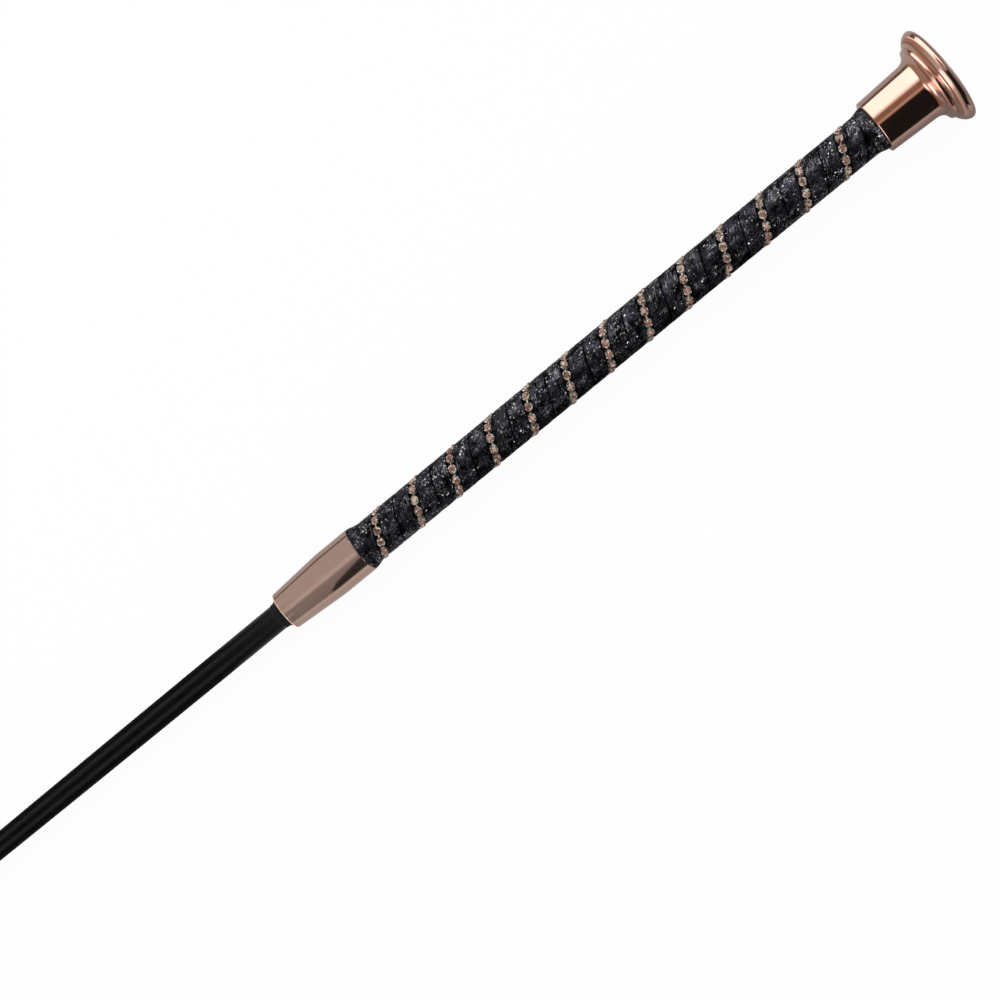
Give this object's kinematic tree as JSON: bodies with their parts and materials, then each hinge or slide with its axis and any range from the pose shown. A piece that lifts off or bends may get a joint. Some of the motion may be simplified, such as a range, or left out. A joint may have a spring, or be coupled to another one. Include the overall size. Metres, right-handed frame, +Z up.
{
  "type": "dressage whip",
  "caption": "Slim riding whip: flared metal cap, grip wound with glitter strips and a stone chain, metal ferrule, tapered braided shaft, and a lash bound to the tip that swings.",
  "frame": {"origin": "on the floor under the middle of the stick, the lash left out", "axes": "+X along the floor under the whip's axis, towards the cap; +Z up; the whip's axis rises 1.11 degrees towards the cap, because it lies on its cap's rim and its tip binding"},
  "size_m": [1.0013, 0.0396, 0.0386],
  "materials": {
    "rose_gold": "polished",
    "satin_bronze": "satin",
    "black_glitter": "crackled glitter",
    "stone_and_cup": "polished",
    "black_foam": "matte",
    "black_tape": "matte",
    "black_braid": "satin braid",
    "black_thread": "matte",
    "glass_fibre": "plain"
  },
  "bodies": {
    "whip": {"cap_body": "rose_gold", "cap_button": "rose_gold", "core_rod": "glass_fibre", "grip_core": "black_foam", "glitter_strip_a": "black_glitter", "glitter_strip_b": "black_glitter", "rhinestone_chain": "stone_and_cup", "upper_end_band": "black_tape", "lower_end_band": "black_tape", "ferrule": "satin_bronze", "shaft_collar": "black_tape", "shaft_braid": "black_braid", "tip_binding": "black_thread", "lash_tail": "black_thread"},
    "lash": {"lash": "black_thread"}
  },
  "joints": [
    {"name": "lash_swing", "type": "hinge", "parent": "whip", "child": "lash", "pos_m": [-0.43712, 0, 0.00242], "axis": [0, 0, 1], "range_deg": [-82, 98]}
  ]
}
